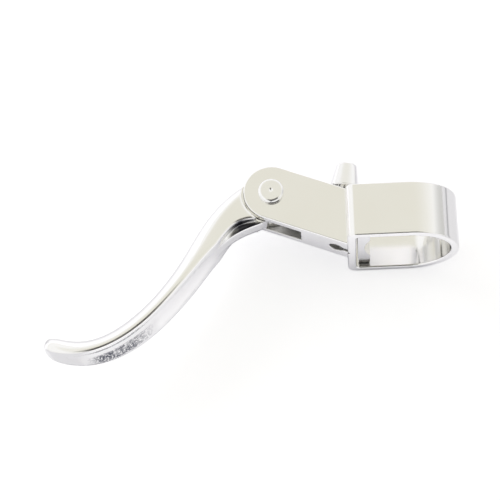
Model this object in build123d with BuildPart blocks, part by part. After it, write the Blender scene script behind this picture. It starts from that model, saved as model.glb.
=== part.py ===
"""In-line brake lever for a 22.2 mm handlebar: a strap bent round the bar carries a forged lever.

Millimetres. Origin on the bar's axis at the middle of the strap. +Y runs along the bar, +X away from the
lever, and +Z along the pivot pin.
"""

import math
import os

from build123d import *

os.makedirs("parts", exist_ok=True)

# Handlebar, strap and pressure plate
bar_r = 11.1
bar_play = 0.05
wall = 2.2
bore_r = bar_r + bar_play
ring_r = bore_r + wall
strap_w = 14.3
rim_r = 0.4
step_r = 2.4
corner_r = 1.0
plate_gap = 0.2
plate_t = 1.75
plate_lip = 3.2
plate_back_gap = 0.45
plate_side_play = 0.95
plate_in = bar_r + plate_gap
plate_out = plate_in + plate_t
plate_half_z = bore_r - plate_side_play
plate_half_y = 5.8
plate_room_x = -plate_out - plate_back_gap
wall_x = plate_room_x - wall

# Cheeks and web, along a line that slopes from the pivot down to the bar
channel_in = 6.0
channel_half = channel_in / 2
cheek_z = channel_half + wall
cheek_r = 7.35
edge_r = 0.45
slope = 21.5
pivot_reach = 19.4
pivot_x = wall_x - pivot_reach
pivot_y = 9.2
web_low = -cheek_r
web_high = web_low + wall
web_front = 10.8
keyhole_s = 20.6
keyhole_d = 4.0
slot_end = 23.6
slot_w = 1.9

# Pivot
pin_d = 4.5
pin_play = 0.03
bush_wall = 0.85
bush_r = pin_d / 2 + pin_play + bush_wall
head_d = 6.8
head_face_d = 4.9
head_h = 1.5
head_land = 0.5
dimple_d = 1.1
dimple_h = 0.35
rivet_d = 6.4
rivet_h = 1.2
rivet_washer_d = 8.0
rivet_washer_t = 0.8
washer_d = 11.0
washer_t = 0.4
washer_play = 0.05
side_play = 0.1
boss_r = 6.6
boss_w = channel_in - 2 * washer_t - 2 * side_play
boss_proud = 0.06
swing = 26.0
swing_room = 0.5

# Short arm and the stop for the cable's casing
arm_end = 20.6
arm_low = 4.25
arm_top = 6.9
arm_belly = 1.2
arm_step = 18.4
stop_gap = 0.05
stop_s = 17.9
stop_n = 6.2
stop_lean = 8.0
spot_r = 3.2
spigot_d = 3.2
spigot_len = 1.5
cable_d = 1.9
neck_d = 5.0
neck_h = 2.6
cone_h = 6.7
stop_base_d = 8.6
stop_top_d = 6.2
casing_d = 5.2
casing_depth = 6.0
bevel = 0.3

# Clamp screw
screw_y = 1.6
screw_r = 1.96
thread_play = 0.04
dog_r = 1.2
dog_play = 0.06
dog_len = 1.1
seat_gap = 0.02
hex_af = 2.0
hex_depth = 1.5

# Blade
blade_reach = 60.05
blade_drop = 42.0
blade_w = 15.4
scoop_open = 0.8

# Recess under the root at each side, from the pivot: its upper edge, then how far it opens below
recess_edge = [(-15.2, -15.4), (-12.3, -11.2), (-9.6, -8.6), (-6.3, -7.3), (-1.5, -7.6)]
recess_open = 8.0

# Stations along the blade, from the tip: underside and ridge as shares of reach and drop, width as a share of
# the blade's, then the side land, and the scoop's width and depth, as shares of the station
stations = [
    (1.0000, -0.9357, 0.9975, -0.8988, 0.195, 0.321, 0.00, 0.000),
    (0.9692, -0.9738, 0.9634, -0.8690, 0.532, 0.240, 0.00, 0.000),
    (0.9009, -1.0000, 0.8959, -0.8881, 0.669, 0.255, 0.40, 0.021),
    (0.7888, -0.9976, 0.8013, -0.8924, 0.782, 0.265, 0.68, 0.178),
    (0.6674, -0.9386, 0.7014, -0.8417, 0.873, 0.270, 0.74, 0.253),
    (0.5479, -0.8238, 0.5987, -0.7381, 0.948, 0.275, 0.76, 0.276),
    (0.4418, -0.6774, 0.5026, -0.6000, 1.000, 0.285, 0.76, 0.276),
    (0.3454, -0.5175, 0.4188, -0.4398, 0.985, 0.320, 0.72, 0.217),
    (0.2573, -0.3645, 0.3505, -0.2767, 0.865, 0.430, 0.42, 0.014),
    (0.1707, -0.2560, 0.2781, -0.1179, 0.770, 0.590, 0.00, 0.000),
    (0.0899, -0.2012, 0.1890, 0.0155, 0.708, 0.713, 0.00, 0.000),
    (0.0195, -0.1607, 0.0951, 0.1124, 0.662, 0.778, 0.00, 0.000),
]

bracket_plane = Plane(
    origin=(pivot_x, pivot_y, 0),
    x_dir=(math.cos(math.radians(slope)), -math.sin(math.radians(slope)), 0),
    z_dir=(0, 0, 1),
)


def on_bracket(s, n):
    """Point s along the bracket line and n across it, on the middle plane."""
    place = bracket_plane.from_local_coords(Vector(s, n, 0))
    return Vector(place.X, place.Y, 0)


def reach_at(x, n):
    """Distance along the bracket line at which the offset line n meets a given x."""
    angle = math.radians(slope)
    return (x - pivot_x - n * math.sin(angle)) / math.cos(angle)


def facing_bar(x):
    """Sketch plane square to the clamp screw, at a given x."""
    return Plane(origin=(x, screw_y, 0), x_dir=(0, 1, 0), z_dir=(1, 0, 0))


def blade_point(along, across):
    """Point of the blade on the middle plane, from its shares of reach and drop."""
    return Vector(pivot_x - along * blade_reach, pivot_y + across * blade_drop, 0)


def station_plane(under, ridge):
    """Plane across the blade: local x along the pivot axis, local y from the underside to the ridge."""
    up = (ridge - under).normalized()
    return Plane(origin=under, x_dir=(0, 0, 1), z_dir=Vector(0, 0, 1).cross(up))


# One cheek: a flat strip, round about the pivot, ending in the cross wall
with BuildPart() as cheek:
    with BuildSketch(bracket_plane.offset(channel_half)):
        with BuildLine():
            Polyline(
                (0, cheek_r),
                (reach_at(wall_x + wall / 2, cheek_r), cheek_r),
                (reach_at(wall_x + wall / 2, web_low), web_low),
                (0, web_low),
            )
            ThreePointArc((0, web_low), (-cheek_r, 0), (0, cheek_r))
        make_face()
    extrude(amount=wall)
    outer_face = cheek.faces().sort_by(Axis.Z)[-1]
    fillet(outer_face.outer_wire().edges().sort_by(Axis.X)[:-1], edge_r)

# Bracket: strap, cheeks, cross wall and web folded from one strip
with BuildPart() as bracket:
    with BuildSketch(Plane.XZ) as strap:
        with BuildLine():
            Polyline((0, ring_r), (wall_x, ring_r), (wall_x, -ring_r), (0, -ring_r))
            ThreePointArc((0, -ring_r), (ring_r, 0), (0, ring_r))
        make_face()
        fillet(strap.vertices().group_by(Axis.X)[0], step_r)
        with BuildLine():
            Polyline((0, bore_r), (plate_room_x, bore_r), (plate_room_x, -bore_r), (0, -bore_r))
            ThreePointArc((0, -bore_r), (bore_r, 0), (0, bore_r))
        make_face(mode=Mode.SUBTRACT)
        at_plate = [v for v in strap.vertices() if abs(v.X - plate_room_x) < rim_r]
        inside = [v for v in at_plate if abs(v.Y) < ring_r - rim_r]
        fillet(inside, corner_r)
    extrude(amount=strap_w / 2, both=True)
    rims = bracket.faces().filter_by(Plane.XZ).edges()
    fillet(rims, rim_r)
    add(cheek.part)
    add(mirror(cheek.part, about=Plane.XY, mode=Mode.PRIVATE))
    # shoulders slanting from the cheeks' top edges down to the band
    shoulder_y = on_bracket(reach_at(wall_x, cheek_r), cheek_r).Y
    for hand in (1, -1):
        with BuildSketch(Plane.YZ.offset(wall_x)):
            with BuildLine():
                Polyline(
                    (0, hand * channel_half),
                    (shoulder_y, hand * channel_half),
                    (shoulder_y, hand * (cheek_z - edge_r)),
                    (strap_w / 2 - rim_r, hand * (ring_r - step_r)),
                    (0, hand * (ring_r - step_r)),
                    close=True,
                )
            make_face()
        extrude(amount=wall)
    # web between the cheeks
    with BuildSketch(bracket_plane):
        with BuildLine():
            Polyline(
                (web_front, web_low),
                (web_front, web_high),
                (reach_at(wall_x + wall / 2, web_high), web_high),
                (reach_at(wall_x + wall / 2, web_low), web_low),
                close=True,
            )
        make_face()
    extrude(amount=channel_half + edge_r, both=True)
    # top of the cross wall, cut down to the seat of the short arm
    with BuildSketch(bracket_plane):
        with BuildLine():
            seat_n = arm_low - stop_gap
            Polyline(
                (reach_at(wall_x - wall, seat_n), seat_n),
                (reach_at(plate_room_x + wall, seat_n), seat_n),
                (reach_at(plate_room_x + wall, 3 * cheek_r), 3 * cheek_r),
                (reach_at(wall_x - wall, 3 * cheek_r), 3 * cheek_r),
                close=True,
            )
        make_face()
    extrude(amount=channel_half, both=True, mode=Mode.SUBTRACT)
    # pivot holes
    with BuildSketch(bracket_plane):
        Circle(pin_d / 2)
    extrude(amount=2 * cheek_z, both=True, mode=Mode.SUBTRACT)
    # keyhole for the inner cable
    below_web = on_bracket(0, web_low - wall)
    with BuildSketch(Plane(origin=below_web, x_dir=bracket_plane.x_dir, z_dir=bracket_plane.y_dir)):
        with Locations((keyhole_s, 0)):
            Circle(keyhole_d / 2)
        with Locations(((keyhole_s + slot_end) / 2, 0)):
            SlotOverall(slot_end - keyhole_s + slot_w, slot_w)
    extrude(amount=3 * wall, mode=Mode.SUBTRACT)
    # threaded hole for the clamp screw
    with BuildSketch(facing_bar(wall_x - wall)):
        Circle(screw_r + thread_play)
    extrude(amount=3 * wall, mode=Mode.SUBTRACT)
bracket.part.label = "bracket"
export_step(bracket.part, "parts/bracket.step")
print("bracket", len(bracket.solids()), round(bracket.part.volume, 1), bracket.part.is_valid)

# Scoop under the blade, open below
with BuildPart() as scoop:
    for ux, uy, rx, ry, width, land, scoop_width, scoop_depth in stations:
        if scoop_width:
            under = blade_point(ux, uy)
            ridge = blade_point(rx, ry)
            half = blade_w * width * scoop_width / 2
            deep = (ridge - under).length * scoop_depth
            with BuildSketch(station_plane(under, ridge)):
                with BuildLine():
                    Polyline((-half, 0), (-half, -scoop_open), (half, -scoop_open), (half, 0))
                    ThreePointArc((half, 0), (0, deep), (-half, 0))
                make_face()
    loft()

# Lever: blade, boss and short arm
lean = math.radians(stop_lean)
stop_axis = Vector(math.sin(lean), math.cos(lean), 0)
stop_seat = on_bracket(stop_s, stop_n)
stop_plane = Plane(origin=stop_seat, x_dir=(0, 0, 1), z_dir=stop_axis)
relief_r = cheek_r + swing_room
with BuildPart() as lever:
    for ux, uy, rx, ry, width, land, scoop_width, scoop_depth in stations:
        under = blade_point(ux, uy)
        ridge = blade_point(rx, ry)
        half = blade_w * width / 2
        high = (ridge - under).length
        with BuildSketch(station_plane(under, ridge)):
            with BuildLine():
                Polyline((-half, high * land), (-half, 0), (half, 0), (half, high * land))
                ThreePointArc((half, high * land), (0, high), (-half, high * land))
            make_face()
    loft()
    add(scoop.part, mode=Mode.SUBTRACT)
    # room for the cheeks at both sides of the boss, over the whole swing, and the recess below it
    for hand in (1, -1):
        with BuildSketch(Plane(origin=(pivot_x, pivot_y, hand * (boss_w / 2 - boss_proud)))):
            Circle(relief_r)
            for turn in (0, swing / 2, swing):
                with Locations(Location((0, 0, 0), (0, 0, -slope - turn))):
                    with Locations((2 * relief_r, 0)):
                        Rectangle(4 * relief_r, 2 * relief_r)
            with BuildLine():
                Spline(*recess_edge)
                Polyline(
                    recess_edge[-1],
                    (recess_edge[-1][0], recess_edge[-1][1] - recess_open),
                    (recess_edge[0][0] + recess_open / 2, recess_edge[0][1] - recess_open),
                    recess_edge[0],
                )
            make_face()
        extrude(amount=hand * blade_w, mode=Mode.SUBTRACT)
    # boss and short arm
    with BuildSketch(bracket_plane):
        Circle(boss_r)
        with BuildLine():
            Polyline(
                (0, boss_r),
                (boss_r / 2, arm_top),
                (arm_end, arm_top),
                (arm_end, arm_low),
                (arm_step, arm_low),
                (arm_step - arm_belly, arm_low),
                (boss_r + 2 * arm_belly, arm_low - arm_belly),
                (boss_r, arm_low - 2 * arm_belly),
                (boss_r / 2, -boss_r * 0.85),
                (0, -boss_r),
                close=True,
            )
        make_face()
    extrude(amount=boss_w / 2, both=True)
    # bush hole
    with BuildSketch(bracket_plane):
        Circle(bush_r)
    extrude(amount=boss_w, both=True, mode=Mode.SUBTRACT)
    # spot face and hole for the casing stop
    with BuildSketch(stop_plane):
        Circle(spot_r)
    extrude(amount=neck_h, mode=Mode.SUBTRACT)
    with BuildSketch(stop_plane):
        Circle(spigot_d / 2)
    extrude(amount=-2 * spigot_len, mode=Mode.SUBTRACT)
lever.part.label = "lever"
export_step(lever.part, "parts/lever.step")
print("lever", len(lever.solids()), round(lever.part.volume, 1), lever.part.is_valid)

# Bush pressed into the boss
with BuildPart() as pivot_bush:
    with BuildSketch(bracket_plane):
        Circle(bush_r)
        Circle(pin_d / 2 + pin_play, mode=Mode.SUBTRACT)
    extrude(amount=boss_w / 2, both=True)
pivot_bush.part.label = "pivot_bush"
export_step(pivot_bush.part, "parts/pivot_bush.step")

# Thrust washers between boss and cheeks
with BuildPart() as washer_near:
    with BuildSketch(bracket_plane.offset(channel_half - washer_t)):
        Circle(washer_d / 2)
        Circle(pin_d / 2 + washer_play, mode=Mode.SUBTRACT)
    extrude(amount=washer_t)
washer_near.part.label = "washer_near"
export_step(washer_near.part, "parts/washer_near.step")

with BuildPart() as washer_far:
    with BuildSketch(bracket_plane.offset(-channel_half)):
        Circle(washer_d / 2)
        Circle(pin_d / 2 + washer_play, mode=Mode.SUBTRACT)
    extrude(amount=washer_t)
washer_far.part.label = "washer_far"
export_step(washer_far.part, "parts/washer_far.step")

# Washer under the closed end of the pin
rivet_low = -cheek_z - rivet_washer_t
with BuildPart() as rivet_washer:
    with BuildSketch(bracket_plane.offset(rivet_low)):
        Circle(rivet_washer_d / 2)
        Circle(pin_d / 2 + washer_play, mode=Mode.SUBTRACT)
    extrude(amount=rivet_washer_t)
    low_rims = rivet_washer.edges().filter_by(GeomType.CIRCLE).group_by(Axis.Z)[0]
    outer_rim = low_rims.sort_by(SortBy.RADIUS)[-1]
    fillet(outer_rim, rivet_washer_t / 3)
rivet_washer.part.label = "rivet_washer"
export_step(rivet_washer.part, "parts/rivet_washer.step")

# Pin with a turned head and a closed far end
head_top = cheek_z + head_h
head_mid_r = (head_d + head_face_d) / 4
with BuildPart() as pivot_pin:
    with BuildSketch(Plane(origin=(pivot_x, pivot_y, 0), x_dir=(1, 0, 0), z_dir=(0, -1, 0))):
        with BuildLine():
            Polyline(
                (0, rivet_low - rivet_h),
                (rivet_d / 4, rivet_low - rivet_h),
                (rivet_d / 2, rivet_low - rivet_h / 4),
                (rivet_d / 2, rivet_low),
                (pin_d / 2, rivet_low),
                (pin_d / 2, cheek_z),
                (head_d / 2, cheek_z),
                (head_d / 2, cheek_z + head_land),
            )
            Spline(
                (head_d / 2, cheek_z + head_land),
                (head_mid_r + (head_d - head_face_d) / 10, head_top - (head_h - head_land) / 4),
                (head_face_d / 2, head_top),
                tangents=((0, 1), (-1, 0)),
            )
            Polyline(
                (head_face_d / 2, head_top),
                (dimple_d / 2, head_top),
                (0, head_top - dimple_h),
                (0, rivet_low - rivet_h),
            )
        make_face()
    revolve(axis=Axis((pivot_x, pivot_y, 0), (0, 0, 1)))
pivot_pin.part.label = "pivot_pin"
export_step(pivot_pin.part, "parts/pivot_pin.step")
print("pivot_pin", round(pivot_pin.part.volume, 1), pivot_pin.part.is_valid)

# Turned stop for the cable's outer casing, pressed into the short arm
stop_top = neck_h + cone_h
with BuildPart() as cable_stop:
    with BuildSketch(Plane(origin=stop_seat, x_dir=(stop_axis.Y, -stop_axis.X, 0), z_dir=(0, 0, 1))):
        with BuildLine():
            Polyline(
                (cable_d / 2, -spigot_len),
                (spigot_d / 2, -spigot_len),
                (spigot_d / 2, 0),
                (neck_d / 2, 0),
                (neck_d / 2, neck_h),
                (stop_base_d / 2 - bevel, neck_h),
                (stop_base_d / 2, neck_h + bevel),
                (stop_top_d / 2, stop_top - bevel),
                (stop_top_d / 2 - bevel / 2, stop_top),
                (casing_d / 2 + bevel / 2, stop_top),
                (casing_d / 2, stop_top - bevel),
                (casing_d / 2, stop_top - casing_depth),
                (cable_d / 2, stop_top - casing_depth),
                close=True,
            )
        make_face()
    revolve(axis=Axis(stop_seat, stop_axis))
cable_stop.part.label = "cable_stop"
export_step(cable_stop.part, "parts/cable_stop.step")
print("cable_stop", round(cable_stop.part.volume, 1), cable_stop.part.is_valid)
socket = stop_seat + stop_axis * (stop_top - casing_depth / 2)
print("casing socket", round(socket.X, 4), round(socket.Y, 4))

# Pressure plate, flat with a hollow for the bar
with BuildPart() as pressure_plate:
    with BuildSketch(Plane.XZ):
        with Locations((plate_lip / 2 - plate_out, 0)):
            Rectangle(plate_lip, 2 * plate_half_z)
        Circle(plate_in, mode=Mode.SUBTRACT)
    extrude(amount=plate_half_y, both=True)
    with BuildSketch(facing_bar(-plate_out - dog_len)):
        Circle(dog_r + dog_play)
    extrude(amount=2 * dog_len + dog_play, mode=Mode.SUBTRACT)
pressure_plate.part.label = "pressure_plate"
export_step(pressure_plate.part, "parts/pressure_plate.step")
print("pressure_plate", len(pressure_plate.solids()), pressure_plate.part.is_valid)

# Clamp screw: threaded body with a dog point and a hex socket
shoulder_x = -plate_out - seat_gap
with BuildPart() as clamp_screw:
    with BuildSketch(facing_bar(wall_x)):
        Circle(screw_r)
    extrude(amount=shoulder_x - wall_x)
    with BuildSketch(facing_bar(shoulder_x)):
        Circle(dog_r)
    extrude(amount=dog_len)
    with BuildSketch(facing_bar(wall_x)):
        RegularPolygon(hex_af / 2, 6, major_radius=False)
    extrude(amount=hex_depth, mode=Mode.SUBTRACT)
clamp_screw.part.label = "clamp_screw"
export_step(clamp_screw.part, "parts/clamp_screw.step")
print("clamp_screw", round(clamp_screw.part.volume, 1), clamp_screw.part.is_valid)
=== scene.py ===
# %% [markdown]
# # An in-line brake lever in polished aluminium
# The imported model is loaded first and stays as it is: every piece is in metres, in the frame of
# the CAD. The bar runs along Y, the pivot pin stands along Z, and the blade reaches out along -X.
# The CAD already has every shape that shows, so this lesson is about finishes and light.

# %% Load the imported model
import math

import bpy
from mathutils import Matrix, Vector


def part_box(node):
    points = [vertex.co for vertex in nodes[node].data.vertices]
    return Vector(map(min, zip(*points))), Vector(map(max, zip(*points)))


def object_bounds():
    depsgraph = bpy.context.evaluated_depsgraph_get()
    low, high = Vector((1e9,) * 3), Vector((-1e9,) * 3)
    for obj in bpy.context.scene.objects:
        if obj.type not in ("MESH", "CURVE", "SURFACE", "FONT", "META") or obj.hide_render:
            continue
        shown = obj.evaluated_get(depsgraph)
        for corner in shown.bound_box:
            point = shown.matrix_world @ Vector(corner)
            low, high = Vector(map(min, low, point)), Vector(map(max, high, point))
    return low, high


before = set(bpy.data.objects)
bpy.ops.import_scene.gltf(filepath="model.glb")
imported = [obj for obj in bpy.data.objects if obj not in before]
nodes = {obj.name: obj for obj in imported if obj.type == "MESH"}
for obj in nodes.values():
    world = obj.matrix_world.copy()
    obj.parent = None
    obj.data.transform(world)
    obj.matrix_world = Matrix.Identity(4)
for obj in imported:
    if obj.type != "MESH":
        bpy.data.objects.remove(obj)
cad_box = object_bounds()
MM = 0.001
print("nodes:", sorted(nodes))
print("CAD box (m):", [[round(v, 4) for v in corner] for corner in cad_box])

# %% [markdown]
# ## The camera
# The photograph looks down on the lever at about 69 degrees, from far off with a long lens, so the
# strap shows its front face and the lower half of its bore. A camera could be placed by eye, but
# one fitted to the photograph's edges lets each edge be compared. The fit gives a focal length of
# 1850 pixels on a 500 pixel frame, which is 133.2 mm on a 36 mm sensor.

# %% Set the camera
SENSOR = 36.0
FOCAL_PX = 1850.0
FRAME_PX = 500.0
NEAREST = 0.01
FARTHEST = 20.0
camera_at = Vector((-18.9, -176.2, 453.6)) * MM
camera_look = Vector((-0.0461, 0.353, -0.9345)).normalized()
camera_up = Vector((0.0438, 0.9353, 0.3512))

lens = bpy.data.cameras.new("studio_camera")
lens.sensor_width = SENSOR
lens.lens = FOCAL_PX * SENSOR / FRAME_PX
lens.clip_start = NEAREST
lens.clip_end = FARTHEST
camera = bpy.data.objects.new("studio_camera", lens)
bpy.context.scene.collection.objects.link(camera)
camera_right = camera_look.cross(camera_up).normalized()
camera_up = camera_right.cross(camera_look)
turn = (camera_right, camera_up, -camera_look)
camera.matrix_world = Matrix.Translation(camera_at) @ Matrix(turn).transposed().to_4x4()
bpy.context.scene.camera = camera
print("lens (mm):", round(lens.lens, 1))

# %% [markdown]
# ## Sums of sockets
# Finishes are easier to read as sums than as lists of links. This class wraps one socket of a node
# tree: adding or multiplying two of them adds the Math node that does it. Every other node is made
# by `make`.

# %% A socket that can be written into a sum
class Wire:
    """One output socket, or none yet, of a node tree."""

    def __init__(self, tree, socket=None):
        self.tree = tree
        self.socket = socket

    def make(self, kind, settings=None, sockets=None, out=0):
        """Add a node: its settings first, then the values or links of its sockets."""
        node = self.tree.nodes.new(kind)
        for name, value in (settings or {}).items():
            setattr(node, name, value)
        for name, value in (sockets or {}).items():
            if isinstance(value, Wire):
                self.tree.links.new(value.socket, node.inputs[name])
            else:
                node.inputs[name].default_value = value
        return Wire(self.tree, node.outputs[out])

    def _sum(self, operation, first, second):
        return self.make("ShaderNodeMath", {"operation": operation}, {0: first, 1: second})

    def __add__(self, other):
        return self._sum("ADD", self, other)

    def __radd__(self, other):
        return self._sum("ADD", other, self)

    def __sub__(self, other):
        return self._sum("SUBTRACT", self, other)

    def __rsub__(self, other):
        return self._sum("SUBTRACT", other, self)

    def __mul__(self, other):
        return self._sum("MULTIPLY", self, other)

    def __rmul__(self, other):
        return self._sum("MULTIPLY", other, self)


print("socket sums are ready")

# %% [markdown]
# Colours and vectors can't go through a Math node, which would turn them grey. They go through a
# Mix node, whose sockets share names, so they are picked by number.

# %% Mixes, new finishes and links by name
SHARE = 0
VECTOR_A, VECTOR_B, VECTOR_OUT = 4, 5, 1
COLOUR_A, COLOUR_B, COLOUR_OUT = 6, 7, 2


def colour_mix(share, first, second):
    """Colour between two colours, by a share that varies."""
    sockets = {SHARE: share, COLOUR_A: first, COLOUR_B: second}
    return share.make("ShaderNodeMix", {"data_type": "RGBA"}, sockets, COLOUR_OUT)


def vector_mix(share, first, second):
    """Vector between two vectors, by a share that varies."""
    sockets = {SHARE: share, VECTOR_A: first, VECTOR_B: second}
    return share.make("ShaderNodeMix", {"data_type": "VECTOR"}, sockets, VECTOR_OUT)


def new_finish(name):
    """An empty material, its Principled shader and a first wire to build on."""
    material = bpy.data.materials.new(name)
    material.use_nodes = True
    shader = material.node_tree.nodes["Principled BSDF"]
    return material, shader, Wire(material.node_tree)


def feed(shader, **links):
    """Link or set the shader's sockets by name, with underscores for spaces."""
    for name, value in links.items():
        socket = shader.inputs[name.replace("_", " ")]
        if isinstance(value, Wire):
            value.tree.links.new(value.socket, socket)
        else:
            socket.default_value = value


print("mixes and links are ready")

# %% [markdown]
# ## Where the finish sits
# All detail is placed by object coordinates, which are the CAD's own metres. Scaled to millimetres,
# a noise of scale 1 has patches about a millimetre wide, so every grain is set at its real size.

# %% Helpers for places and masks
def in_mm(wire):
    """Object coordinates in millimetres."""
    place = wire.make("ShaderNodeTexCoord", out="Object")
    sockets = {0: place, "Scale": 1 / MM}
    return wire.make("ShaderNodeVectorMath", {"operation": "SCALE"}, sockets)


def along(vector, axis):
    """One of the X, Y and Z parts of a vector."""
    return vector.make("ShaderNodeSeparateXYZ", {}, {0: vector}, axis)


def facing(normal, way):
    """How far a face looks one way: 1 if it faces it, 0 if it stands square to it."""
    sockets = {0: normal, 1: way}
    return normal.make("ShaderNodeVectorMath", {"operation": "DOT_PRODUCT"}, sockets, "Value")


def between(value, low, high):
    """How far a value has gone from low to high, held to 0 and 1."""
    sockets = {"Value": value, 1: low, 2: high, 3: 0.0, 4: 1.0}
    return value.make("ShaderNodeMapRange", {}, sockets)


def absolute(value):
    """A value without its sign."""
    return value.make("ShaderNodeMath", {"operation": "ABSOLUTE"}, {0: value})


def larger(first, second):
    """The larger of two values."""
    return first.make("ShaderNodeMath", {"operation": "MAXIMUM"}, {0: first, 1: second})


def from_axis(place, at_mm):
    """Distance from a line along Z through a point of the XY plane."""
    shift = {0: place, 1: (*at_mm, 0.0)}
    moved = place.make("ShaderNodeVectorMath", {"operation": "SUBTRACT"}, shift)
    flatten = {0: moved, 1: (1.0, 1.0, 0.0)}
    flat = place.make("ShaderNodeVectorMath", {"operation": "MULTIPLY"}, flatten)
    return place.make("ShaderNodeVectorMath", {"operation": "LENGTH"}, {0: flat}, "Value")


print("places and masks are ready")

# %% [markdown]
# Grain, scratches and rounded edges are the small faults that make metal look handled. They could
# be pictures laid over the surface, but noise needs no unwrapping and has no seams.

# %% Helpers for grain, scratches and soft edges
def stretched(place, turn_deg, shrink):
    """The same place, turned and squeezed so that a grain runs along one way."""
    angles = [math.radians(a) for a in turn_deg]
    sockets = {"Vector": place, "Rotation": angles, "Scale": shrink}
    return place.make("ShaderNodeMapping", {"vector_type": "TEXTURE"}, sockets)


def noise(place, scale, detail=2.0, rough=0.5):
    """Noise from 0 to 1."""
    sockets = {"Vector": place, "Scale": scale, "Detail": detail, "Roughness": rough}
    return place.make("ShaderNodeTexNoise", {}, sockets)


def scratches(place, scale, thin):
    """Fine hair lines: the thin border between the cells of a stretched pattern."""
    sockets = {"Vector": place, "Scale": scale}
    cells = place.make("ShaderNodeTexVoronoi", {"feature": "DISTANCE_TO_EDGE"}, sockets)
    return 1 - between(cells, 0.0, thin)


def soft_edge(wire, radius_mm, samples=6):
    """Normals that round the sharp edges a little."""
    return wire.make("ShaderNodeBevel", {"samples": samples}, {"Radius": radius_mm * MM})


def bumped(height, depth_mm, under):
    """Normals from a height given as 0 to 1, on top of other normals."""
    sockets = {"Height": height, "Distance": depth_mm * MM, "Strength": 1.0, "Normal": under}
    return height.make("ShaderNodeBump", {}, sockets)


print("grain helpers are ready")

# %% [markdown]
# ## Polished aluminium
# The strap and the blade are buffed aluminium. A buffed face is a mirror with three small faults:
# soft clouds where the wheel pressed harder, long fine lines left by the wheel, and a few hair
# scratches from handling. None of them should be seen as a pattern, so each changes the gloss by a
# few hundredths only.

# %% Buffed aluminium
ALUMINIUM = (0.95, 0.945, 0.935)
WARM_SHARE = (0.97, 0.965, 0.945)
CLOUD_SCALE = 0.09
LINE_SCALE = 1.0
FINE_DETAIL = 3.0
HAIR_RUN = ((0, 0, 31), (18.0, 1.1, 1.1))
HAIR_SCALE = 0.5
HAIR_WIDTH = 0.012
CLOUD_GLOSS = 0.05
LINE_GLOSS = 0.04
HAIR_GLOSS = 0.06


def buffed(place, rough, grain):
    """Colour, roughness and line height of a buffed face."""
    cloud = noise(place, CLOUD_SCALE, FINE_DETAIL)
    lines = noise(stretched(place, *grain), LINE_SCALE, FINE_DETAIL)
    hairs = scratches(stretched(place, *HAIR_RUN), HAIR_SCALE, HAIR_WIDTH)
    warm = [channel * share for channel, share in zip(ALUMINIUM, WARM_SHARE)]
    colour = colour_mix(cloud, (*ALUMINIUM, 1), (*warm, 1))
    gloss = rough + CLOUD_GLOSS * (cloud - 0.5) + LINE_GLOSS * (lines - 0.5) + HAIR_GLOSS * hairs
    return colour, gloss, lines


print("aluminium:", ALUMINIUM)

# %% [markdown]
# The wheel reaches all of the strap but the channel between the cheeks and the keyhole. The sheet's
# own satin is left there, and it scatters the light that comes in from below, so these openings
# aren't black. The mask takes the faces between the cheeks that stand square to the web.

# %% Strap with a satin channel
STRAP_GRAIN = ((0, 0, 0), (9.0, 0.25, 0.25))
STRAP_ROUGH = 0.11
SATIN_ROUGH = 0.2
STRAP_EDGE_MM = 0.4
WHEEL_LINE_MM = 0.0005
WEB_WAY = (-0.3665, -0.9304, 0.0)
ON_WEB = (0.3, 0.5)
PAST_CHANNEL = (3.05, 3.10)
LEFT_OF_RING = (-14.0, -16.0)

strap, strap_shader, wire = new_finish("buffed_strap")
place = in_mm(wire)
colour, gloss, lines = buffed(place, STRAP_ROUGH, STRAP_GRAIN)
normal = wire.make("ShaderNodeNewGeometry", out="Normal")
off_web = 1 - between(absolute(facing(normal, WEB_WAY)), *ON_WEB)
inside = 1 - between(absolute(along(place, "Z")), *PAST_CHANNEL)
in_channel = off_web * (inside * between(along(place, "X"), *LEFT_OF_RING))
feed(
    strap_shader,
    Base_Color=colour,
    Metallic=1.0,
    Roughness=gloss + SATIN_ROUGH * in_channel,
    Normal=bumped(lines, WHEEL_LINE_MM, soft_edge(wire, STRAP_EDGE_MM)),
)
finishes = {"bracket": strap}
print("satin channel half width (mm):", PAST_CHANNEL[0])

# %% [markdown]
# ## The blade
# The outside of the blade is buffed like the strap. The scoop under it is hard to reach with the
# wheel, so toward the tip the forged skin is left: small dimples between patches that were half
# polished, rougher than the rest. The dimples are also painted near black, which is painted shade
# for the dark band that the scoop shows. The mask takes faces that look down and away from the
# ridge, between the scoop's rims, over the outer half.

# %% Half-polished scoop of the blade, with painted shade in its dimples
BLADE_GRAIN = ((0, 0, 48), (9.0, 0.25, 0.25))
BLADE_ROUGH = 0.09
UNDERSIDE = (0.62, -0.78, 0.0)
SCOOP_FACE = (0.4, 0.6)
SCOOP_STARTS = (-65.5, -73.0)
SCOOP_ENDS = (-81.0, -85.0)
SCOOP_MIDDLE = -3.6
SCOOP_RIM = (1.5, 2.7)
DIMPLES_SEEN = (0.36, 0.54)
PATCHES_SEEN = (0.30, 0.5)
LEAST_RAW = 0.6

blade, blade_shader, wire = new_finish("buffed_blade")
place = in_mm(wire)
colour, gloss, lines = buffed(place, BLADE_ROUGH, BLADE_GRAIN)
normal = wire.make("ShaderNodeNewGeometry", out="Normal")
under = facing(normal, UNDERSIDE)
from_bar = along(place, "X")
across = along(place, "Z")
outer_half = between(from_bar, *SCOOP_STARTS) * (1 - between(from_bar, *SCOOP_ENDS))
within_rims = 1 - between(absolute(across - SCOOP_MIDDLE), *SCOOP_RIM)
in_scoop = between(under, *SCOOP_FACE) * within_rims * outer_half
dimples = between(noise(place, scale=1.7, detail=4.0, rough=0.65), *DIMPLES_SEEN)
patches = between(noise(place, scale=0.4), *PATCHES_SEEN)
raw = in_scoop * (LEAST_RAW + (1 - LEAST_RAW) * patches)
# The dimples carry the scoop's painted shade as well as its pits and roughness.
pits_and_painted_shade = raw * dimples
print("half-polished from x (mm):", SCOOP_STARTS[1], "to", SCOOP_ENDS[0])
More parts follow.
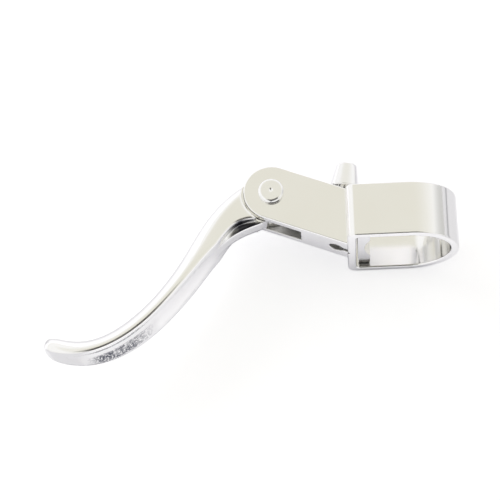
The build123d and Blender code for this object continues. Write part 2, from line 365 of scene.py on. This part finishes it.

# %% [markdown]
# The recess beside the cheek, under the blade's root, is out of the wheel's reach as well. It has
# a wall that looks down and a narrow floor, and both are painted near black: painted shade for the
# dark gap under the cheek.

# %% Painted shade in the recess under the root
RECESS_FACE = (0.3, 0.5)
WALL_STARTS = (2.5, 2.7)
FLOOR_STARTS = (2.40, 2.43)
FLOOR_ENDS = (2.52, 2.6)
RECESS_REACH = (-47.2, -43.8)
BELOW_CHEEK = (2.2, 1.4)

off_core = absolute(across)
recess_wall = between(under, *RECESS_FACE) * between(off_core, *WALL_STARTS)
recess_floor = between(off_core, *FLOOR_STARTS) * (1 - between(off_core, *FLOOR_ENDS))
# Mask of the recess, where painted shade makes the metal near black.
in_painted_recess = larger(recess_wall, recess_floor) * between(from_bar, *RECESS_REACH)
in_painted_recess = in_painted_recess * between(along(place, "Y"), *BELOW_CHEEK)
print("recess from x (mm):", RECESS_REACH[0])

# %% [markdown]
# The wheel rounds the edges of the blade and the rims of the scoop. A rounded edge sweeps its
# reflection over a wide part of the tent: at the root it passes the white wall and shines, and
# along the outer half it passes the dark opening and draws a dark line. The milled step round the
# cheek is out of the wheel's reach, so its wall and floor stay square, and the narrow gap there
# lets the light back out.

# %% Rounded edges of the blade
BLADE_EDGE_MM = 1.6
EDGE_SAMPLES = 16
PAST_STEP = (7.95, 7.97)

pin_low, pin_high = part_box("pivot_pin")
PIN_AT = [(pin_low[k] + pin_high[k]) / 2 / MM for k in (0, 1)]
in_step = 1 - between(from_axis(place, PIN_AT), *PAST_STEP)
rounded = vector_mix(in_step, soft_edge(wire, BLADE_EDGE_MM, EDGE_SAMPLES), normal)
print("pin axis (mm):", [round(v, 2) for v in PIN_AT])

# %% [markdown]
# The masks now meet in one shader. The dimples go down into the metal, so their bump is negative,
# and the wheel's lines are a fiftieth of their depth.

# %% Blade finish
# Painted shade: the near-black colour of the scoop's dimples.
FORGED_AND_PAINTED_SHADE = (0.13, 0.135, 0.16, 1)
# Painted shade: the colour that the recess under the root is painted.
RECESS_PAINTED_SHADE = (0.07, 0.07, 0.085, 1)
RAW_ROUGH = 0.16
PIT_ROUGH = 0.1
RECESS_ROUGH = 0.2
DIMPLE_MM = 0.03
LINE_SHARE = 0.02

feed(
    blade_shader,
    Base_Color=colour_mix(in_painted_recess, colour_mix(pits_and_painted_shade, colour, FORGED_AND_PAINTED_SHADE), RECESS_PAINTED_SHADE),
    Metallic=1.0,
    Roughness=gloss + RAW_ROUGH * raw + PIT_ROUGH * pits_and_painted_shade + RECESS_ROUGH * in_painted_recess,
    Normal=bumped(LINE_SHARE * lines - pits_and_painted_shade, DIMPLE_MM, rounded),
)
finishes["lever"] = blade
print("dimple depth (mm):", DIMPLE_MM)

# %% [markdown]
# ## Turned and pressed parts
# The pin's head and the casing stop come off a lathe, so their fine lines run in rings round their
# axes. Rings round the pin are a noise of the distance from its axis. On the stop and the screw the
# noise is stretched instead, which gives rings round an axis that lies flat.

# %% Finish of a small part
SMALL_CLOUD_SCALE = 0.3
DULL_SHARE = 0.95
SMALL_LINE_GLOSS = 0.08
SMALL_CLOUD_GLOSS = 0.06
SMALL_LINE_MM = 0.0012


def turned_finish(name, tone, rough, marks, edge_mm, metal=1.0):
    """A finish with fine lines, slightly clouded."""
    material, shader, wire = new_finish(name)
    place = in_mm(wire)
    lines = marks(place)
    cloud = noise(place, SMALL_CLOUD_SCALE)
    dull = [channel * DULL_SHARE for channel in tone]
    uneven = SMALL_LINE_GLOSS * (lines - 0.5)
    feed(
        shader,
        Base_Color=colour_mix(cloud, (*tone, 1), (*dull, 1)),
        Metallic=metal,
        Roughness=rough + uneven + SMALL_CLOUD_GLOSS * (cloud - 0.5),
        Normal=bumped(lines, SMALL_LINE_MM, soft_edge(wire, edge_mm)),
    )
    return material


print("small parts can be finished")

# %% Lines of the small parts
PIN_RING_SCALE = 5.0
STOP_GRAIN = ((0, 0, -8), (8.0, 0.3, 8.0))
SCREW_GRAIN = ((0, 0, 0), (0.3, 6.0, 6.0))
PRESSED_SCALE = 1.2
PRESSED_DETAIL = 4.0


def round_pin(place):
    """Fine rings round the pivot pin."""
    sockets = {"W": from_axis(place, PIN_AT), "Scale": PIN_RING_SCALE, "Detail": 2.0}
    return place.make("ShaderNodeTexNoise", {"noise_dimensions": "1D"}, sockets)


def round_stop(place):
    """Fine rings round the casing stop, whose axis leans 8 degrees from Y."""
    return noise(stretched(place, *STOP_GRAIN), LINE_SCALE)


def round_screw(place):
    """Fine rings round the clamp screw, whose axis is X."""
    return noise(stretched(place, *SCREW_GRAIN), LINE_SCALE)


def pressed(place):
    """The even grain of a pressed or moulded face."""
    return noise(place, PRESSED_SCALE, PRESSED_DETAIL)


print("lines of the small parts are ready")

# %% [markdown]
# The bush is bronze and the plate is satin aluminium. The screw is blackened steel. The two thrust
# washers are moulded in pale nylon, so they are the only finish here that isn't metal. The pin and
# the washer under its closed end are bright steel.

# %% Finishes of the small parts
STEEL = (0.97, 0.965, 0.955)
BRONZE = (0.72, 0.50, 0.25)
NYLON = (0.80, 0.79, 0.75)
SATIN_PLATE = (0.90, 0.895, 0.885)
BLACKENED = (0.22, 0.22, 0.23)

pin = turned_finish("turned_pin", STEEL, rough=0.1, marks=round_pin, edge_mm=0.5)
bush = turned_finish("bronze_bush", BRONZE, rough=0.28, marks=round_pin, edge_mm=0.08)
nylon = turned_finish("moulded_nylon", NYLON, rough=0.5, marks=pressed, edge_mm=0.05, metal=0.0)
stop = turned_finish("turned_stop", ALUMINIUM, rough=0.12, marks=round_stop, edge_mm=0.12)
plate = turned_finish("pressed_plate", SATIN_PLATE, rough=0.2, marks=pressed, edge_mm=0.15)
screw = turned_finish("blackened_screw", BLACKENED, rough=0.28, marks=round_screw, edge_mm=0.06)
finishes.update(pivot_pin=pin, rivet_washer=pin, pivot_bush=bush)
finishes.update(washer_near=nylon, washer_far=nylon, cable_stop=stop)
finishes.update(pressure_plate=plate, clamp_screw=screw)
print("finishes:", sorted(finishes))

# %% [markdown]
# ## Giving the finishes to the CAD
# The solids keep their meshes and only change their material. Long flat faces share corners with
# rounded rims, and plain smoothing would bend the reflection there, so a weighted normal modifier
# lets the large flat faces decide.

# %% Dress the solids
FLATS_WEIGHT = 80
for name, material in finishes.items():
    slots = nodes[name].data.materials
    slots.clear()
    slots.append(material)
    steady = nodes[name].modifiers.new("steady_flats", "WEIGHTED_NORMAL")
    steady.keep_sharp = True
    steady.weight = FLATS_WEIGHT
print("dressed:", len(finishes))

# %% [markdown]
# ## A white tent
# Polished metal has hardly any colour of its own: it shows what stands around it. The photograph
# was taken in a white tent, with a roof that is a little creamy and darker than the walls. The left
# wall is white up to the roof, and the far end of the right wall is grey. Panels could be hung
# round the lever, but a world that is coloured by direction has no edges to tune one by one.

# %% Colour the tent
WHITE = (1, 1, 1, 1)
ROOF = (0.823, 0.809, 0.731, 1)
RIGHT_WALL = (0.62, 0.62, 0.61, 1)
TO_ROOF = (0.35, 0.88)
TO_LEFT_WALL = (-0.32, -0.50)
TO_RIGHT_WALL = (0.82, 0.935)
TO_FAR_END = (-0.15, 0.1)

world = bpy.data.worlds.new("white_tent")
bpy.context.scene.world = world
world.use_nodes = True
sky = Wire(world.node_tree)
toward = sky.make("ShaderNodeTexCoord", out="Generated")
rightward = along(toward, "X")
far_right = between(rightward, *TO_RIGHT_WALL) * between(along(toward, "Y"), *TO_FAR_END)
tent = colour_mix(between(along(toward, "Z"), *TO_ROOF), WHITE, ROOF)
tent = colour_mix(between(rightward, *TO_LEFT_WALL), tent, WHITE)
tent = colour_mix(far_right, tent, RIGHT_WALL)
print("roof of the tent:", ROOF[:3])

# %% [markdown]
# A dark opening stands above the table's near right side. Narrow bends and edges pick it up as
# thin dark lines. It is a patch of directions, bounded on four sides after a turn about Z.

# %% Dark opening of the tent
OPENING = (0.07, 0.065, 0.06, 1)
OPENING_TURN = -63.4
OPENING_TOP = (0.08, 0.20)
OPENING_FOOT = (0.80, 0.92)
OPENING_LEFT = (-0.60, -0.46)
OPENING_RIGHT = (0.26, 0.38)

turned = stretched(toward, (0, 0, OPENING_TURN), (1, 1, 1))
outward = along(turned, "X")
sideways = along(turned, "Y")
tall = between(outward, *OPENING_TOP) - between(outward, *OPENING_FOOT)
wide = between(sideways, *OPENING_LEFT) - between(sideways, *OPENING_RIGHT)
tent = colour_mix(tall * wide, tent, OPENING)
print("opening faces (degrees):", OPENING_TURN)

# %% [markdown]
# Camera rays that miss the table see plain white. The camera and the metal see the tent at full
# strength, and it lights the paper a little less, so that the paper keeps its shade.

# %% Light the tent
WORLD_LIGHT = 0.8


def ray(wire, name):
    """1 for the rays of one kind, 0 for all others."""
    return wire.make("ShaderNodeLightPath", out=name)


tent = colour_mix(ray(sky, "Is Camera Ray"), tent, WHITE)
seen = larger(ray(sky, "Is Camera Ray"), ray(sky, "Is Glossy Ray"))
seen = larger(seen, ray(sky, "Is Transmission Ray"))
background = world.node_tree.nodes["Background"]
feed(background, Color=tent, Strength=WORLD_LIGHT + (1 - WORLD_LIGHT) * seen)
print("world light:", WORLD_LIGHT)

# %% [markdown]
# ## The white table
# The lever lies on white paper. It could stand on a curved backdrop, but the photograph's
# background is plain white, so one flat sheet is enough.

# %% Lay the paper
FLOOR_HALF = 2.0
FLOOR_DROP = 0.0002
SQUARE = ((-1, -1), (1, -1), (1, 1), (-1, 1))

floor_z = cad_box[0][2] - FLOOR_DROP
floor_mesh = bpy.data.meshes.new("floor")
corners = [(x * FLOOR_HALF, y * FLOOR_HALF, floor_z) for x, y in SQUARE]
floor_mesh.from_pydata(corners, [], [(0, 1, 2, 3)])
floor = bpy.data.objects.new("floor", floor_mesh)
bpy.context.scene.collection.objects.link(floor)
print("floor at z (mm):", round(floor_z / MM, 2))

# %% [markdown]
# In the polished metal the paper shows as a cool white, brightest on the near side of the lever.
# Painted shade makes it dimmer behind the blade, to the right of the strap and below the tip, so
# the dark parts of the metal's reflections are painted. The edge of the painted shade behind the
# blade follows the blade's own bow. A dim border painted off to the right, where the paper ends,
# gives the thin dark line down the bend of the strap.

# %% Painted shade on the paper, seen only in the metal
BEHIND_SHADE = 0.52
RIGHT_SHADE = 0.38
TIP_SHADE = 0.42
BLADE_SLOPE = 0.7
BLADE_BOW = 0.024
BLADE_MIDDLE = -75.0
BEHIND_STARTS = (25.0, 29.0)
BEHIND_ENDS = (42.0, 64.0)
RIGHT_STARTS = (12.0, 26.0)
LEFT_OF_TIP = (-80.0, -88.0)
BELOW_TIP = (-28.0, -33.0)
BORDER_STARTS = (78.0, 92.0)
BORDER_ENDS = (112.0, 140.0)

paper, paper_shader, wire = new_finish("white_paper")
on_paper = in_mm(wire)
right_of_bar = along(on_paper, "X")
up_bar = along(on_paper, "Y")
from_middle = right_of_bar - BLADE_MIDDLE
past_blade = up_bar - BLADE_SLOPE * right_of_bar - BLADE_BOW * from_middle * from_middle
behind_blade = between(past_blade, *BEHIND_STARTS) - between(past_blade, *BEHIND_ENDS)
below_tip = between(right_of_bar, *LEFT_OF_TIP) * between(up_bar, *BELOW_TIP)
border = between(right_of_bar, *BORDER_STARTS) - between(right_of_bar, *BORDER_ENDS)
right_side = RIGHT_SHADE * between(right_of_bar, *RIGHT_STARTS)
# Painted shade: how far the paper is dimmed in these places.
painted_far_shade = larger(BEHIND_SHADE * behind_blade, right_side)
painted_far_shade = larger(painted_far_shade, TIP_SHADE * below_tip)
print("shades behind, right and tip:", BEHIND_SHADE, RIGHT_SHADE, TIP_SHADE)

# %% [markdown]
# Close under the lever painted shade makes the paper dimmer as well, where an ambient occlusion
# node finds the lever near. The patch under the ring is left out of this painted shade, because the
# ring's inside mirrors it and is bright.

# %% Painted shade close under the lever
SHADE_REACH = 16 * MM
SHADE_SAMPLES = 8
OPEN_SKY = (0.45, 0.95)
RING_FROM_LEFT = (-12.0, 3.0)
RING_FROM_BELOW = (-6.0, 4.0)

around = ({"samples": SHADE_SAMPLES}, {"Distance": SHADE_REACH})
open_sky = wire.make("ShaderNodeAmbientOcclusion", *around, out="AO")
under_ring = between(right_of_bar, *RING_FROM_LEFT) * between(up_bar, *RING_FROM_BELOW)
# Painted shade: the paper is darkened where the lever stands close over it.
painted_shade_under_lever = (1 - between(open_sky, *OPEN_SKY)) * (1 - under_ring)
print("shade reaches (mm):", round(SHADE_REACH / MM, 1))

# %% [markdown]
# To the camera the paper glows just enough to reach white, and it still takes the shadow. Only the
# metal sees the painted shade: on the rays that Light Path calls glossy, the paper's colour is
# darkened and its glow taken away over the parts above.

# %% Paper finish
PAPER = (0.9, 0.9, 0.9, 1)
# Painted shade: the paper's colour where the metal sees it dimmed.
PAPER_PAINTED_SHADE = (0.50, 0.50, 0.55, 1)
PAPER_GLOW = (0.47, 0.47, 0.48, 1)
PAPER_MIRRORED = (0.48, 0.48, 0.53, 1)
NO_GLOW = (0.0, 0.0, 0.0, 1)
PAPER_ROUGH = 0.9

mirrored = ray(wire, "Is Glossy Ray")
# Painted shade: the share of darkened colour and lost glow in the metal's reflections.
painted_shade_share = mirrored * larger(larger(border, painted_far_shade), painted_shade_under_lever)
glow = colour_mix(mirrored, PAPER_GLOW, colour_mix(painted_shade_share, PAPER_MIRRORED, NO_GLOW))
feed(
    paper_shader,
    Base_Color=colour_mix(painted_shade_share, PAPER, PAPER_PAINTED_SHADE),
    Roughness=PAPER_ROUGH,
    Emission_Color=glow,
    Emission_Strength=1.0,
)
floor_mesh.materials.append(paper)
print("paper glow:", PAPER_GLOW[:3])

# %% [markdown]
# ## The soft lamp
# One large lamp, from behind on the left, gives the soft shadow on the paper. The metal doesn't
# mirror it, since the tent already gives every reflection.

# %% Hang the soft lamp
LAMP_AT = Vector((-0.55, 0.5, 0.3))
LAMP_AIM = Vector((-0.04, -0.01, 0.0))
LAMP_WIDTH = 0.85
LAMP_HEIGHT = 0.57
LAMP_POWER = 1.6

light = bpy.data.lights.new("key_lamp", "AREA")
light.shape = "RECTANGLE"
light.size = LAMP_WIDTH
light.size_y = LAMP_HEIGHT
light.energy = LAMP_POWER
lamp = bpy.data.objects.new("key_lamp", light)
bpy.context.scene.collection.objects.link(lamp)
lamp.visible_glossy = False
lamp.location = LAMP_AT
lamp.rotation_euler = (LAMP_AIM - LAMP_AT).to_track_quat("-Z", "Y").to_euler()
print("lamp (W):", LAMP_POWER)

# %% [markdown]
# ## Finish
# The finishes must not change the size of anything; the box of the CAD is printed where the model
# is loaded. The Standard view shows a colour about as it is written.

# %% Finish
bpy.context.scene.view_settings.view_transform = "Standard"
